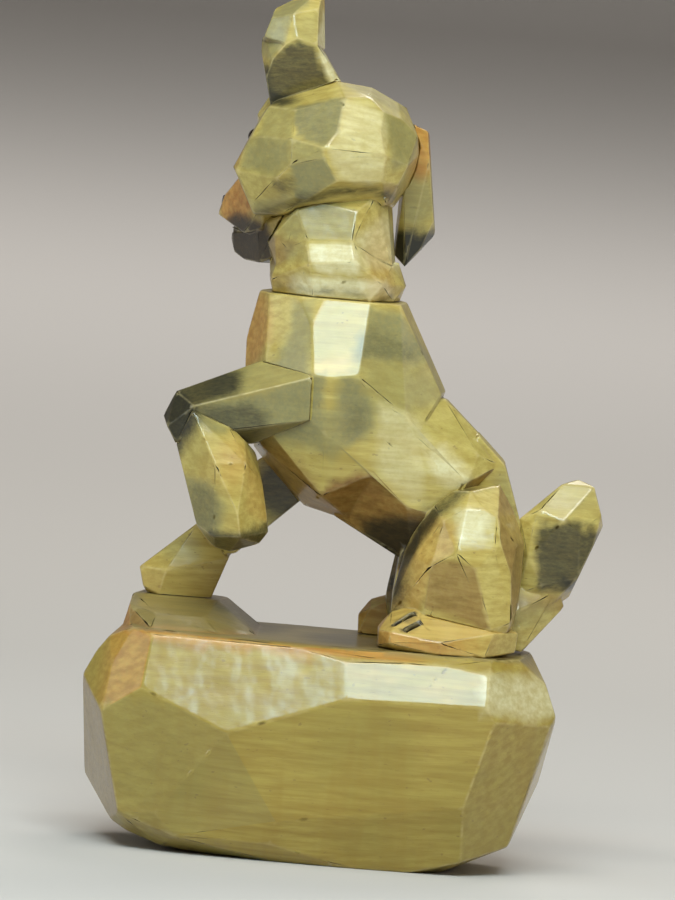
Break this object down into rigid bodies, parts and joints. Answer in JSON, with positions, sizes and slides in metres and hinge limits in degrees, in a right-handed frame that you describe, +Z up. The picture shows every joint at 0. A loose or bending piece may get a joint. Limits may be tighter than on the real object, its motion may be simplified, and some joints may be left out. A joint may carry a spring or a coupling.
{
  "type": "carved dog statue",
  "caption": "Knife-carved, lacquered light-wood puppy sitting on a faceted rock plinth, one forepaw raised and the head turned to look back.",
  "frame": {"origin": "middle of the rock plinth's flat underside", "axes": "+Z up; -X the way the puppy's chest faces; -Y its left side, with the raised forepaw"},
  "size_m": [0.1265, 0.079, 0.217],
  "materials": {
    "limewood": "clear gloss lacquer over pale limewood, with airbrushed black-green and amber shading",
    "rock_wood": "clear gloss lacquer over yellowish limewood, amber stain along the upper rim",
    "black_paint": "gloss black paint under lacquer",
    "eye_bead": "polished dark bead",
    "beech_dowel": "plain sanded beech"
  },
  "bodies": {
    "root": {"base_rock": "rock_wood", "torso": "limewood", "neck": "limewood", "head": "limewood", "nose": "black_paint", "eyes": "eye_bead", "raised_ear": "limewood", "hanging_ear": "limewood", "raised_forearm": "limewood", "raised_paw": "limewood", "planted_foreleg": "limewood", "left_haunch": "limewood", "right_haunch": "limewood", "left_hind_paw": "limewood", "right_hind_paw": "limewood", "tail": "limewood", "neck_dowel": "beech_dowel", "ear_pegs": "beech_dowel", "shoulder_dowels": "beech_dowel", "knee_peg": "beech_dowel", "forepaw_peg": "beech_dowel", "haunch_dowels": "beech_dowel", "hind_paw_pegs": "beech_dowel", "seat_dowels": "beech_dowel", "tail_dowel": "beech_dowel"}
  },
  "joints": []
}
